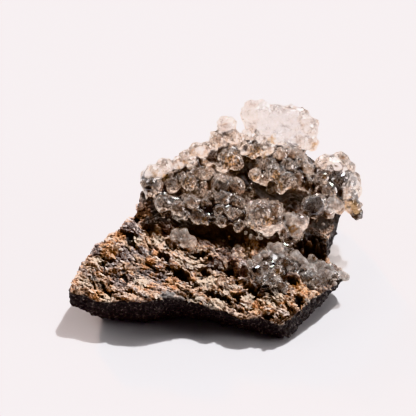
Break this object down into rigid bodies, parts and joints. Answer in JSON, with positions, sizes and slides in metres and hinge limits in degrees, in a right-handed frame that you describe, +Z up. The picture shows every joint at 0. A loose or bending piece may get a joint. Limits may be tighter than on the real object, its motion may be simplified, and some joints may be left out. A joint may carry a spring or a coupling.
{
  "type": "hyalite opal specimen",
  "caption": "Clear botryoidal hyalite opal grown over a rough slab of weathered volcanic rock, resting on its flat underside.",
  "frame": {"origin": "middle of the bounding box, at the level of the surface that the specimen rests on", "axes": "+Z up, +X along the longest side towards the slab's thin right tip, -Y towards the bare front edge of the slab"},
  "size_m": [0.0698, 0.0598, 0.0278],
  "materials": {
    "volcanic_rock": "rough, weathered tan and orange above, fresh dark grey breaks on the sides",
    "hyalite": "clear, glassy, botryoidal"
  },
  "bodies": {
    "root": {"matrix": "volcanic_rock", "hyalite_crust": "hyalite", "hyalite_small_cluster": "hyalite"}
  },
  "joints": []
}
